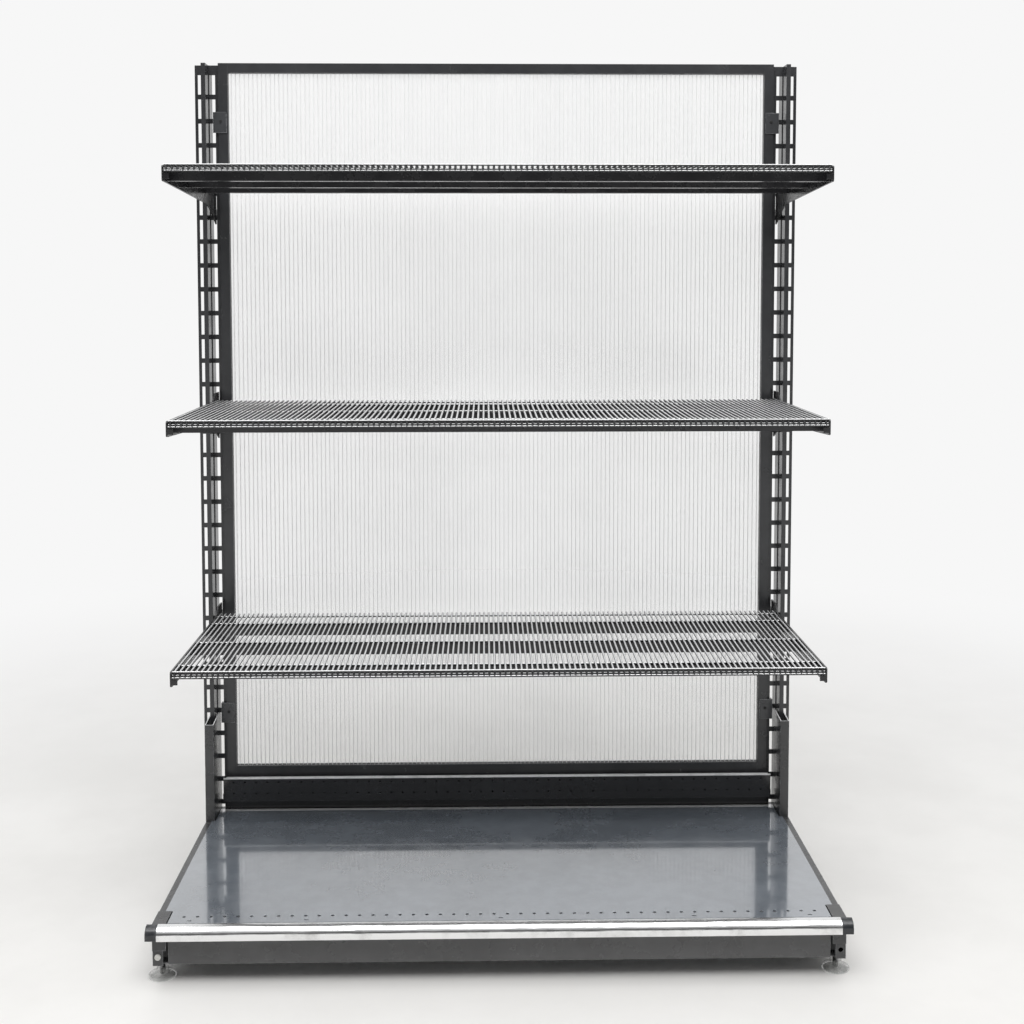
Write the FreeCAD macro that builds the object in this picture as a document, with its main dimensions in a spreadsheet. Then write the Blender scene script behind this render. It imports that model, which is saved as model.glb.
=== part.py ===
import FreeCAD, Part
import math
import os
import re

import Sketcher

Vector = FreeCAD.Vector

# Driving sizes in millimetres. Heights are above the floor. Depths are measured from the plane of the
# slotted wings on the two posts. Names that end in slot, slots or step count slots, not millimetres.
SIZES = {
    # slotted posts
    "post_pitch": 1210,
    "post_top": 1690,
    "web_wide": 9,
    "web_deep": 70,
    "web_wall": 1.5,
    "wing_span": 48,
    "wing_thick": 2.5,
    "slot_tall": 40,
    "slot_wide": 12,
    "slot_pitch": 50,
    "slot_top_gap": 20,
    "slot_web_gap": 1.5,
    # hooks that drop behind a rung of the slotted wings
    "hook_neck": 12,
    "hook_drop": 10,
    "hook_thick": 3,
    "hook_gap": 0.4,
    # framed twin-wall back panel
    "frame_gap": 1,
    "frame_wide": 20,
    "frame_deep": 14,
    "frame_rise": 4,
    "groove_deep": 14,
    "sheet_thick": 6,
    "sheet_gap": 0.2,
    "sheet_bite": 12,
    "sheet_skin": 0.7,
    "flute_pitch": 10,
    # clips that hold the panel frame to the posts
    "clip_wide": 28,
    "clip_tall": 43,
    "clip_thick": 2,
    "clip_drop": 30,
    "clip_screw_up": 24,
    "clip_screw_in": 5,
    "clip_high_slot": 1,
    "clip_low_step": 5,
    "screw_thick": 4,
    "screw_head": 6,
    "screw_head_tall": 1.2,
    "screw_reach": 3,
    "screw_room": 0.15,
    # perforated lower back panel and the stretcher behind it
    "lower_top": 185,
    "lower_low": 60,
    "lower_thick": 1.5,
    "lower_edge": 19.5,
    "lower_flange": 11,
    "tray_proud": 22,
    "tray_tall": 51,
    "lower_row_down": 10,
    "lower_rows_apart": 24,
    "lower_hole": 4,
    "wing_clear": 0.45,
    "ear_reach": 14,
    "ear_step": 1,
    "hole_pitch": 24,
    "hole_margin": 40,
    "stretcher_low": 60,
    "stretcher_tall": 40,
    "stretcher_deep": 28,
    "stretcher_wall": 2,
    "stretcher_gap": 5,
    # base legs
    "leg_low": 35,
    "leg_wide": 18,
    "leg_wall": 2,
    "leg_top": 315,
    "leg_back_rise": 6,
    "leg_reach": 525,
    "leg_hook_steps": 2,
    "channel_deep": 70,
    "sole_gap": 1,
    "plate_thick": 3,
    "plate_hole": 9,
    "plate_hole_up": 16,
    "plug_head": 11,
    "plug_head_tall": 2,
    "plug_reach": 5,
    "plug_room": 0.2,
    "lug_wide": 22,
    "lug_long": 20,
    "lug_thick": 2,
    "lug_back": 5,
    # base deck and plinth
    "deck_top": 110,
    "deck_thick": 1.5,
    "deck_strip": 12,
    "deck_front_gap": 1,
    "deck_rear_gap": 2,
    "notch_gap": 1.5,
    "skirt_tall": 18,
    "skirt_inset": 3,
    "deck_hole": 6,
    "deck_hole_back": 24,
    "deck_slot_back": 9,
    "deck_slot_long": 8,
    "deck_slot_wide": 3,
    "deck_slot_near": 345,
    "deck_slot_far": 552,
    "plinth_thick": 1.5,
    "plinth_flange": 15,
    "plinth_proud": 1.5,
    "plinth_side_gap": 9,
    "plinth_top_gap": 2,
    # polished bumper
    "bumper_low": 88,
    "bumper_tall": 24.5,
    "bumper_deep": 18,
    "bumper_wall": 1.5,
    "bumper_round": 16,
    "bumper_edge": 2,
    "bumper_end_gap": 2.5,
    "cap_long": 20,
    "cap_inset": 0.5,
    "hanger_wide": 24,
    "hanger_thick": 3,
    "hanger_back": 45,
    "hanger_drop": 45,
    # levelling feet
    "foot_wide": 50,
    "foot_rim": 4,
    "foot_hub": 22,
    "foot_shoulder": 10,
    "foot_tall": 16,
    "foot_floor": 5,
    "stem_thick": 10,
    "stem_top": 80,
    "stem_room": 0.05,
    "stem_hole_room": 0.6,
    "nut_across": 19,
    "nut_tall": 8,
    "front_foot_back": 32,
    "rear_foot_ahead": 50,
    # shelves
    "top_shelf_slot": 4,
    "shelf_step_slots": 9,
    "shelf_rise": 15,
    "shelf_reach": 469,
    "shelf_back": 42,
    "grid_side_gap": 1.5,
    "wire_thick": 3.4,
    "wire_pitch": 9.7,
    "wire_bend": 5,
    "lip_drop": 14,
    "lip_wire": 3,
    "lip_wire_gap": 2.2,
    "cross_wire": 4,
    "weld_sink": 0.6,
    "rear_wire_in": 12,
    "bar_first": 52,
    "bar_second": 210,
    "bar_third": 356,
    "bar_deep": 18,
    "bar_tall": 20,
    "bar_wall": 1.5,
    # shelf brackets
    "bracket_inset": 14.5,
    "bracket_thick": 3,
    "bracket_sink": 2,
    "nose_back": 3,
    "nose_tall": 30,
    "nose_round": 4,
    "nose_flange": 13,
    "flange_gap": 2,
    "knee_back": 75,
    "knee_drop": 48,
    "knee_round": 200,
    "root_drop": 84,
    "ear_rise": 14,
    "ear_flat": 40,
    "ear_slope": 62,
}

SIDES = {"left": -1, "right": 1}
SHELVES = ("top", "middle", "bottom")
HOOKS_PER_LEG = 3
LIP_WIRES = 2

# Points closer than this are one point
SAME_POINT = 0.01

doc = FreeCAD.newDocument("RetailShelving")
sheet = doc.addObject("Spreadsheet::Sheet", "Sizes")
for row, (name, number) in enumerate(SIZES.items(), 1):
    sheet.set(f"A{row}", name)
    sheet.set(f"B{row}", str(number))
    sheet.setAlias(f"B{row}", name)
doc.recompute()

pieces = []

# Places that several pieces share, as expressions of the sizes
POST_X = "(post_pitch / 2)"
PANEL_X = "(post_pitch / 2 - wing_span / 2 - frame_gap)"
SCREW_X = f"({PANEL_X} - clip_screw_in)"
FRAME_TOP = "(post_top + frame_rise)"
HOOK_FRONT = "(-wing_thick / 2 - hook_gap)"
HOOK_BACK = "(wing_thick / 2 + hook_gap)"
LOWER_FRONT = "(-wing_thick / 2 - wing_clear - lower_thick)"
RAIL_TOP = "(deck_top - deck_thick)"
BUMPER_BACK = "(leg_reach + plate_thick + hanger_thick)"
BUMPER_END = "(post_pitch / 2 - bumper_end_gap)"
LEG_INNER = "(post_pitch / 2 - leg_wide / 2)"
HANGER_X = "(post_pitch / 2 + leg_wide / 2 - hanger_wide / 2)"
BRACKET_X = "(post_pitch / 2 - bracket_inset - bracket_thick / 2)"
BAR_TOP = "(-wire_thick - cross_wire + weld_sink)"
TOP_SLOT = "(post_top - slot_top_gap - slot_tall)"
SLOT_COUNT = "floor((post_top - slot_top_gap - leg_low - slot_pitch + slot_tall) / slot_pitch)"
HOLE_STEPS = "floor((post_pitch - 2 * hole_margin) / hole_pitch)"

# The front of the bumper and the rear of the post webs are equally far from the middle of the unit
BACK_SHIFT = f"(({BUMPER_BACK} + bumper_deep - web_deep / 2) / 2)"


def size(name):
    """A driving size as a number."""
    return float(sheet.get(name))


def bound(text):
    """The text as an expression that reads every size it names from the sheet."""
    return re.sub(r"[a-z_]+", lambda word: f"Sizes.{word[0]}" if word[0] in SIZES else word[0], text)


def tie(thing, place, text):
    """Keeps one property of an object equal to an expression of the sizes."""
    thing.setExpression(place, bound(text))


def slot_bottom(steps_down):
    """Height of a slot's lower edge, counted down from the top slot."""
    return f"({TOP_SLOT} - slot_pitch * {steps_down})"


def slot_bottom_up(steps_up):
    """Height of a slot's lower edge, counted up from the lowest slot."""
    return slot_bottom(f"({SLOT_COUNT} - 1 - {steps_up})")


def place(piece, label, x="0", z="0"):
    """Names a finished piece and sets it in the unit's frame."""
    piece.Label = label
    tie(piece, "Placement.Base.x", x)
    tie(piece, "Placement.Base.y", BACK_SHIFT)
    tie(piece, "Placement.Base.z", z)
    pieces.append(piece)


def new_body(label, x="0", z="0"):
    body = doc.addObject("PartDesign::Body", label)
    place(body, label, x, z)
    return body


def origin_feature(body, role):
    return next(feature for feature in body.Origin.OriginFeatures if feature.Role == role)


def sketch_on(body, plane, away="0"):
    """An empty sketch on one of the body's own planes, moved along the plane's normal."""
    sketch = body.newObject("Sketcher::SketchObject", f"{body.Name}_sketch")
    sketch.AttachmentSupport = [(origin_feature(body, plane), "")]
    sketch.MapMode = "FlatFace"
    tie(sketch, "AttachmentOffset.Base.z", away)
    return sketch


def pin_down(sketch, geometry, point, across, up):
    """Ties one point of a sketch to its two sizes, both measured from the sketch's origin."""
    for kind, text in (("DistanceX", across), ("DistanceY", up)):
        rule = sketch.addConstraint(Sketcher.Constraint(kind, -1, 1, geometry, point, 1.0))
        tie(sketch, f"Constraints[{rule}]", text)


def outline(sketch, corners):
    """A closed outline of straight lines through the corners, each a pair of expressions."""
    first = sketch.GeometryCount
    count = len(corners)
    angle = 2 * math.pi / count
    start = [Vector(math.cos(angle * i), math.sin(angle * i), 0) for i in range(count)]
    for i in range(count):
        sketch.addGeometry(Part.LineSegment(start[i], start[(i + 1) % count]), False)
    for i in range(count):
        after = first + (i + 1) % count
        sketch.addConstraint(Sketcher.Constraint("Coincident", first + i, 2, after, 1))
    for i, (across, up) in enumerate(corners):
        pin_down(sketch, first + i, 1, across, up)


def rectangle(sketch, left, low, right, high):
    outline(sketch, [(left, low), (right, low), (right, high), (left, high)])


def circle(sketch, across, up, diameter):
    geometry = sketch.addGeometry(Part.Circle(Vector(1, 1, 0), Vector(0, 0, 1), 1), False)
    pin_down(sketch, geometry, 3, across, up)
    rule = sketch.addConstraint(Sketcher.Constraint("Diameter", geometry, 2.0))
    tie(sketch, f"Constraints[{rule}]", diameter)


def pad(body, sketch, length, both_ways=False):
    """Raises a sketch along its normal, or equally to both sides of it."""
    feature = body.newObject("PartDesign::Pad", f"{body.Name}_pad")
    feature.Profile = sketch
    feature.SideType = "Symmetric" if both_ways else "One side"
    tie(feature, "Length", length)
    return feature


def pocket(body, sketch, depth):
    """Cuts a sketch to the same depth on both sides of its plane."""
    feature = body.newObject("PartDesign::Pocket", f"{body.Name}_pocket")
    feature.Profile = sketch
    feature.SideType = "Symmetric"
    tie(feature, "Length", f"2 * ({depth})")
    return feature


def repeat(body, feature, axis, spacing, count):
    """Repeats a feature in a straight row."""
    row = body.newObject("PartDesign::LinearPattern", f"{body.Name}_row")
    row.Originals = [feature]
    row.Direction = (origin_feature(body, axis), [""])
    row.Mode = "Spacing"
    tie(row, "Offset", spacing)
    tie(row, "Occurrences", count)
    body.Tip = row


def round_off(body, feature, wanted, radius):
    """Rounds the edges along X whose middle point passes the test."""
    doc.recompute()
    names = []
    for index, edge in enumerate(feature.Shape.Edges, 1):
        start, end = edge.Vertexes[0].Point, edge.Vertexes[-1].Point
        along_x = max(abs(end.y - start.y), abs(end.z - start.z)) < SAME_POINT
        if along_x and wanted((start + end) / 2):
            names.append(f"Edge{index}")
    fillet = body.newObject("PartDesign::Fillet", f"{body.Name}_round")
    fillet.Base = (feature, names)
    tie(fillet, "Radius", radius)
    body.Tip = fillet
    return fillet


def hook_corners(bottom):
    """Rear edge of a hook, from its foot upwards: through the slot, then down behind the rung."""
    tail = f"{HOOK_BACK} + hook_thick"
    return [
        (HOOK_FRONT, bottom),
        (HOOK_BACK, bottom),
        (HOOK_BACK, f"{bottom} - hook_drop"),
        (tail, f"{bottom} - hook_drop"),
        (tail, f"{bottom} + hook_neck"),
        (HOOK_FRONT, f"{bottom} + hook_neck"),
    ]


def hook_pad(body, x, front, bottom):
    """A single hook on the back of a thin plate."""
    side_view = sketch_on(body, "YZ_Plane", x)
    corners = hook_corners(bottom)
    corners[0] = (front, corners[0][1])
    corners[-1] = (front, corners[-1][1])
    outline(side_view, corners)
    pad(body, side_view, "hook_thick", both_ways=True)


def post_web(side, sign):
    """Deep narrow tube that carries the post."""
    web = new_body(f"post_web_{side}", f"{sign} * {POST_X}")
    section = sketch_on(web, "XY_Plane", "leg_low")
    rectangle(section, "-web_wide / 2", "-web_deep / 2", "web_wide / 2", "web_deep / 2")
    inner_x = "(web_wide / 2 - web_wall)"
    inner_y = "(web_deep / 2 - web_wall)"
    rectangle(section, f"-{inner_x}", f"-{inner_y}", inner_x, inner_y)
    pad(web, section, "post_top - leg_low")


def slotted_strip(side, sign, edge, way):
    """Flat wing of a post, punched with one column of slots."""
    strip = new_body(f"slotted_strip_{side}_{edge}", f"{sign} * {POST_X}")
    toward = sign * way
    plate = sketch_on(strip, "XZ_Plane")
    rectangle(plate, f"{toward} * web_wide / 2", "leg_low", f"{toward} * wing_span / 2", "post_top")
    pad(strip, plate, "wing_thick", both_ways=True)
    lowest = slot_bottom_up(0)
    near = f"{toward} * (web_wide / 2 + slot_web_gap)"
    far = f"{toward} * (web_wide / 2 + slot_web_gap + slot_wide)"
    hole = sketch_on(strip, "XZ_Plane")
    rectangle(hole, near, lowest, far, f"{lowest} + slot_tall")
    slot = pocket(strip, hole, "wing_thick")
    repeat(strip, slot, "Z_Axis", "slot_pitch", SLOT_COUNT)


def groove_corners(outer, inward):
    """Channel section of the panel frame: its outer face, and the groove that opens inwards."""
    inner = f"({outer} + {inward} * frame_wide)"
    floor = f"({inner} - {inward} * groove_deep)"
    half = "(frame_deep / 2)"
    lip = "(sheet_thick / 2 + sheet_gap)"
    return [
        (outer, f"-{half}"),
        (outer, half),
        (inner, half),
        (inner, lip),
        (floor, lip),
        (floor, f"-{lip}"),
        (inner, f"-{lip}"),
        (inner, f"-{half}"),
    ]


def clip_bottoms():
    """Height of the slot that each pair of clips hooks into."""
    return {"top": slot_bottom("clip_high_slot"), "bottom": slot_bottom_up("clip_low_step")}


def panel_stile(side, sign):
    stile = new_body(f"panel_stile_{side}")
    section = sketch_on(stile, "XY_Plane", "lower_top")
    outline(section, groove_corners(f"({sign} * {PANEL_X})", -sign))
    pad(stile, section, f"{FRAME_TOP} - lower_top")
    holes = sketch_on(stile, "XZ_Plane", "frame_deep / 2")
    for bottom in clip_bottoms().values():
        height = f"{bottom} - clip_drop + clip_screw_up"
        circle(holes, f"{sign} * {SCREW_X}", height, "screw_thick + 2 * screw_room")
    pocket(stile, holes, "(frame_deep - sheet_thick) / 2 - sheet_gap")


def panel_rail(end, outer, inward):
    rail = new_body(f"panel_rail_{end}")
    section = sketch_on(rail, "YZ_Plane")
    outline(section, [(depth, height) for height, depth in groove_corners(outer, inward)])
    pad(rail, section, f"2 * ({PANEL_X} - frame_wide)", both_ways=True)


def flat_wire(left, low, right, high, z):
    """A closed rectangle of edges at one height."""
    corners = [Vector(left, low, z), Vector(right, low, z), Vector(right, high, z), Vector(left, high, z)]
    return Part.makePolygon(corners + corners[:1])


def polycarbonate_sheet():
    """Twin-wall sheet: two skins joined by ribs, with an open flute between each pair of ribs."""
    frame_x = size("post_pitch") / 2 - size("wing_span") / 2 - size("frame_gap")
    half = frame_x - size("frame_wide") + size("sheet_bite")
    low = size("lower_top") + size("frame_wide") - size("groove_deep")
    high = size("post_top") + size("frame_rise") - size("frame_wide") + size("sheet_bite")
    thick, skin, pitch = size("sheet_thick"), size("sheet_skin"), size("flute_pitch")
    flutes = int((2 * half - skin) // pitch)
    wires = [flat_wire(-half, -thick / 2, half, thick / 2, low)]
    for i in range(flutes):
        middle = (i - (flutes - 1) / 2) * pitch
        reach = (pitch - skin) / 2
        wires.append(flat_wire(middle - reach, skin - thick / 2, middle + reach, thick / 2 - skin, low))
    section = Part.makeFace(wires, "Part::FaceMakerBullseye")
    panel = doc.addObject("Part::Feature", "polycarbonate_sheet")
    panel.Shape = section.extrude(Vector(0, 0, high - low))
    place(panel, "polycarbonate_sheet")


def panel_clip(end, bottom, side, sign):
    """Plate over the panel stile and the post's edge, with a hook into one slot."""
    clip = new_body(f"panel_clip_{end}_{side}", z=bottom)
    outer = "(post_pitch / 2 - ear_reach)"
    front_view = sketch_on(clip, "XZ_Plane", "frame_deep / 2")
    inner = f"({outer} - clip_wide)"
    rectangle(front_view, f"{sign} * {inner}", "-clip_drop", f"{sign} * {outer}", "clip_tall - clip_drop")
    circle(front_view, f"{sign} * {SCREW_X}", "clip_screw_up - clip_drop", "screw_thick + 2 * screw_room")
    pad(clip, front_view, "clip_thick")
    hook_pad(clip, f"{sign} * ({outer} - hook_thick / 2)", "-frame_deep / 2 - clip_thick / 2", "0")


def button(label, x, front, z, head, head_tall, shank, reach):
    """A round head on a shank that points to the rear, its seat at the given depth in front of the wings."""
    cap = doc.addObject("Part::Cylinder", f"{label}_head")
    stalk = doc.addObject("Part::Cylinder", f"{label}_shank")
    for rod, width, length, turn in ((cap, head, head_tall, 90), (stalk, shank, reach, -90)):
        tie(rod, "Radius", f"({width}) / 2")
        tie(rod, "Height", length)
        rod.Placement = FreeCAD.Placement(Vector(), FreeCAD.Rotation(Vector(1, 0, 0), turn))
        tie(rod, "Placement.Base.x", x)
        tie(rod, "Placement.Base.y", f"-({front})")
        tie(rod, "Placement.Base.z", z)
    whole = doc.addObject("Part::MultiFuse", label)
    whole.Shapes = [cap, stalk]
    return whole


def group(label, members):
    """Identical small pieces that share one node."""
    together = doc.addObject("Part::Compound", label)
    together.Links = members
    place(together, label)


def panel_clip_screws():
    screws = []
    for end, bottom in clip_bottoms().items():
        for side, sign in SIDES.items():
            screws.append(button(
                f"screw_{end}_{side}", f"{sign} * {SCREW_X}", "frame_deep / 2 + clip_thick",
                f"{bottom} - clip_drop + clip_screw_up", "screw_head", "screw_head_tall",
                "screw_thick", "clip_thick + screw_reach"))
    group("panel_clip_screws", screws)


def lower_back_panel():
    """Folded steel panel hung on the posts. Its top is a perforated tray that carries the panel frame."""
    panel = new_body("lower_back_panel")
    edge = "(post_pitch / 2 - lower_edge)"
    behind = "(wing_thick / 2 + wing_clear)"
    tray_front = f"({LOWER_FRONT} - tray_proud)"
    tray_low = "(lower_top - tray_tall)"
    plate = sketch_on(panel, "XZ_Plane", behind)
    rectangle(plate, f"-{edge}", "lower_low", edge, "lower_top")
    pad(panel, plate, "lower_thick")
    under = sketch_on(panel, "YZ_Plane")
    rectangle(under, tray_front, tray_low, LOWER_FRONT, f"{tray_low} + lower_thick")
    pad(panel, under, f"2 * {edge}", both_ways=True)
    face = sketch_on(panel, "XZ_Plane", f"{behind} + tray_proud")
    rectangle(face, f"-{edge}", tray_low, edge, "lower_top")
    pad(panel, face, "lower_thick")
    fold = sketch_on(panel, "YZ_Plane")
    rectangle(fold, tray_front, "lower_top - lower_thick", "lower_flange", "lower_top")
    pad(panel, fold, f"2 * {PANEL_X}", both_ways=True)
    slot = slot_bottom_up("ear_step")
    outer = "(post_pitch / 2 - ear_reach)"
    for sign in SIDES.values():
        ear = sketch_on(panel, "XZ_Plane", behind)
        rectangle(ear, f"{sign} * ({edge} - ear_reach)", slot, f"{sign} * {outer}", f"{slot} + hook_neck")
        pad(panel, ear, "lower_thick")
        hook_pad(panel, f"{sign} * ({outer} - hook_thick / 2)", LOWER_FRONT, slot)
    holes = sketch_on(panel, "XZ_Plane", f"{behind} + tray_proud")
    first = f"-hole_pitch * {HOLE_STEPS} / 2"
    circle(holes, first, "lower_top - lower_row_down", "lower_hole")
    circle(holes, first, "lower_top - lower_row_down - lower_rows_apart", "lower_hole")
    pair = pocket(panel, holes, "2 * lower_thick")
    repeat(panel, pair, "X_Axis", "hole_pitch", f"{HOLE_STEPS} + 1")


def tube_along_x(label, depth, low, deep, tall, wall, length, z="0"):
    """Rectangular tube that runs from side to side."""
    tube = new_body(label, z=z)
    section = sketch_on(tube, "YZ_Plane")
    rectangle(section, f"{depth} - {deep} / 2", low, f"{depth} + {deep} / 2", f"{low} + {tall}")
    rectangle(
        section, f"{depth} - {deep} / 2 + {wall}", f"{low} + {wall}",
        f"{depth} + {deep} / 2 - {wall}", f"{low} + {tall} - {wall}")
    pad(tube, section, length, both_ways=True)


def leg_channel(side, sign):
    """Upright channel of a base leg. It straddles the post's web and hooks into both slot columns."""
    channel = new_body(f"leg_channel_{side}", f"{sign} * {POST_X}")
    front = sketch_on(channel, "XY_Plane", "leg_low")
    rectangle(front, "-leg_wide / 2", "-channel_deep", "leg_wide / 2", "leg_wall - channel_deep")
    pad(channel, front, "leg_top - leg_low")
    corners = [("-channel_deep", "leg_low"), (HOOK_FRONT, "leg_low")]
    for hook in range(HOOKS_PER_LEG):
        corners += hook_corners(slot_bottom_up(f"{hook} * leg_hook_steps"))
    corners += [(HOOK_FRONT, "leg_top + leg_back_rise"), ("-channel_deep", "leg_top")]
    for way in SIDES.values():
        wall = sketch_on(channel, "YZ_Plane", f"{way} * (leg_wide - leg_wall) / 2")
        outline(wall, corners)
        pad(channel, wall, "leg_wall", both_ways=True)
    sole = sketch_on(channel, "XY_Plane", "leg_low")
    rectangle(sole, "-leg_wide / 2", "-channel_deep", "leg_wide / 2", "-web_deep / 2 - sole_gap")
    circle(sole, "0", "-rear_foot_ahead", "stem_thick + 2 * stem_hole_room")
    pad(channel, sole, "leg_wall")


def leg_rail(side, sign):
    """Horizontal tube of a base leg with a welded front plate and a ledge for the plinth."""
    rail = new_body(f"leg_rail_{side}", f"{sign} * {POST_X}")
    section = sketch_on(rail, "XZ_Plane", "channel_deep")
    rectangle(section, "-leg_wide / 2", "leg_low", "leg_wide / 2", RAIL_TOP)
    inner = "(leg_wide / 2 - leg_wall)"
    rectangle(section, f"-{inner}", "leg_low + leg_wall", inner, f"{RAIL_TOP} - leg_wall")
    pad(rail, section, "leg_reach - channel_deep")
    plate = sketch_on(rail, "XZ_Plane", "leg_reach")
    rectangle(plate, "-leg_wide / 2", "leg_low", "leg_wide / 2", RAIL_TOP)
    circle(plate, "0", "leg_low + plate_hole_up", "plate_hole")
    pad(rail, plate, "plate_thick")
    ledge = sketch_on(rail, "XY_Plane", "leg_low")
    rectangle(
        ledge, f"{-sign} * {inner}", "lug_back - leg_reach",
        f"{-sign} * (leg_wide / 2 + lug_wide)", "lug_back + lug_long - leg_reach")
    pad(rail, ledge, "lug_thick")
    hole = sketch_on(rail, "XY_Plane", "leg_low")
    circle(hole, "0", "front_foot_back - leg_reach", "stem_thick + 2 * stem_hole_room")
    pocket(rail, hole, "leg_wall + lug_thick")


def leg_hole_plug():
    """White plug in the hole of the left front plate; the right hole is open."""
    plug = button(
        "leg_hole_plug", f"-{POST_X}", "leg_reach + plate_thick", "leg_low + plate_hole_up",
        "plug_head", "plug_head_tall", "plate_hole - 2 * plug_room", "plug_reach")
    place(plug, "leg_hole_plug")


def deck():
    """Folded steel deck, notched at the front for the bumper hangers and at the rear for the legs."""
    tray = new_body("deck")
    side = "(post_pitch / 2 + leg_wide / 2 - deck_strip)"
    front = "(deck_front_gap - leg_reach)"
    rear = f"({LOWER_FRONT} - deck_rear_gap)"
    front_side = f"({HANGER_X} - hanger_wide / 2 - notch_gap)"
    rear_side = f"({LEG_INNER} - notch_gap)"
    front_notch = "(hanger_back + notch_gap - leg_reach)"
    rear_notch = "(-channel_deep - notch_gap)"
    right_half = [
        (front_side, front), (front_side, front_notch), (side, front_notch),
        (side, rear_notch), (rear_side, rear_notch), (rear_side, rear),
    ]
    left_half = [(f"-{across}", up) for across, up in reversed(right_half)]
    top = sketch_on(tray, "XY_Plane", RAIL_TOP)
    outline(top, right_half + left_half)
    pad(tray, top, "deck_thick")
    skirt = sketch_on(tray, "XY_Plane", f"{RAIL_TOP} - skirt_tall")
    skirt_side = f"({front_side} - skirt_inset)"
    skirt_front = f"({front} + skirt_inset)"
    skirt_rear = f"({rear} - skirt_inset)"
    rectangle(skirt, f"-{skirt_side}", skirt_front, skirt_side, skirt_rear)
    rectangle(
        skirt, f"deck_thick - {skirt_side}", f"{skirt_front} + deck_thick",
        f"{skirt_side} - deck_thick", f"{skirt_rear} - deck_thick")
    pad(tray, skirt, "skirt_tall + deck_thick / 2")
    slots = sketch_on(tray, "XY_Plane", "deck_top")
    for middle in ("0", "deck_slot_near", "-deck_slot_near", "deck_slot_far", "-deck_slot_far"):
        rectangle(
            slots, f"{middle} - deck_slot_long / 2", f"{front} + deck_slot_back - deck_slot_wide / 2",
            f"{middle} + deck_slot_long / 2", f"{front} + deck_slot_back + deck_slot_wide / 2")
    pocket(tray, slots, "2 * deck_thick")
    holes = sketch_on(tray, "XY_Plane", "deck_top")
    circle(holes, f"-hole_pitch * {HOLE_STEPS} / 2", f"{front} + deck_hole_back", "deck_hole")
    first = pocket(tray, holes, "2 * deck_thick")
    repeat(tray, first, "X_Axis", "hole_pitch", f"{HOLE_STEPS} + 1")


def plinth():
    """Folded kick plate that stands on the ledges of the legs, under the bumper."""
    kick = new_body("plinth")
    front = "(-leg_reach - plinth_proud)"
    low = "(leg_low + lug_thick)"
    high = "(bumper_low - plinth_top_gap)"
    section = sketch_on(kick, "YZ_Plane")
    outline(section, [
        (front, low),
        (f"{front} + plinth_flange", low),
        (f"{front} + plinth_flange", f"{low} + plinth_thick"),
        (f"{front} + plinth_thick", f"{low} + plinth_thick"),
        (f"{front} + plinth_thick", f"{high} - plinth_thick"),
        (f"{front} + plinth_flange", f"{high} - plinth_thick"),
        (f"{front} + plinth_flange", high),
        (front, high),
    ])
    pad(kick, section, f"2 * ({LEG_INNER} - plinth_side_gap)", both_ways=True)


def front_of(depth):
    """A test for points that lie on the plane at the given depth in front of the wings."""
    return lambda point: abs(point.y + depth) < SAME_POINT


def front_edge(depth, upper):
    """The same test for the upper or the lower half of the bumper alone."""
    at_front = front_of(depth)
    middle = size("bumper_low") + size("bumper_tall") / 2
    return lambda point: at_front(point) and (point.z > middle) == upper


def bumper_front():
    """Depth of the bumper's front face as a number."""
    return size("leg_reach") + size("plate_thick") + size("hanger_thick") + size("bumper_deep")


def bumper_bar():
    """Hollow polished bar with an upright front that curves back over the top."""
    bar = new_body("bumper_bar")
    back = f"(-{BUMPER_BACK})"
    front = f"({back} - bumper_deep)"
    section = sketch_on(bar, "YZ_Plane")
    rectangle(section, front, "bumper_low", back, "bumper_low + bumper_tall")
    rectangle(
        section, f"{front} + bumper_wall", "bumper_low + bumper_wall",
        f"{back} - bumper_wall", "bumper_low + bumper_tall - bumper_wall")
    tube = pad(bar, section, f"2 * {BUMPER_END}", both_ways=True)
    inner_front = bumper_front() - size("bumper_wall")
    inner = round_off(bar, tube, front_edge(inner_front, True), "bumper_round - bumper_wall")
    inner = round_off(bar, inner, front_edge(inner_front, False), "bumper_edge - bumper_wall")
    outer = round_off(bar, inner, front_edge(bumper_front(), True), "bumper_round")
    round_off(bar, outer, front_edge(bumper_front(), False), "bumper_edge")


def bumper_cap(side, sign):
    """Moulded cap on the end of the bumper, a little smaller than the bar all round."""
    cap = new_body(f"bumper_cap_{side}")
    section = sketch_on(cap, "YZ_Plane", f"{sign} * ({BUMPER_END} + cap_long / 2)")
    rectangle(
        section, f"cap_inset - {BUMPER_BACK} - bumper_deep", "bumper_low + cap_inset",
        f"-{BUMPER_BACK}", "bumper_low + bumper_tall - cap_inset")
    solid = pad(cap, section, "cap_long", both_ways=True)
    front = bumper_front() - size("cap_inset")
    rounded = round_off(cap, solid, front_edge(front, True), "bumper_round - cap_inset")
    round_off(cap, rounded, front_edge(front, False), "bumper_edge")


def bumper_hanger(side, sign):
    """Angle that lies on the leg's front end and carries the bumper in front of it."""
    hanger = new_body(f"bumper_hanger_{side}", f"{sign} * {HANGER_X}")
    front = f"(-{BUMPER_BACK})"
    top = f"({RAIL_TOP} + hanger_thick)"
    section = sketch_on(hanger, "YZ_Plane")
    outline(section, [
        (front, f"{RAIL_TOP} - hanger_drop"),
        (f"{front} + hanger_thick", f"{RAIL_TOP} - hanger_drop"),
        (f"{front} + hanger_thick", RAIL_TOP),
        ("hanger_back - leg_reach", RAIL_TOP),
        ("hanger_back - leg_reach", top),
        (front, top),
    ])
    pad(hanger, section, "hanger_wide", both_ways=True)


def foot_spots():
    """Where each levelling foot stands: its side, and its depth from the wings."""
    spots = {}
    for side, sign in SIDES.items():
        spots[f"front_{side}"] = (f"{sign} * {POST_X}", "front_foot_back - leg_reach")
        spots[f"rear_{side}"] = (f"{sign} * {POST_X}", "-rear_foot_ahead")
    return spots


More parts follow.
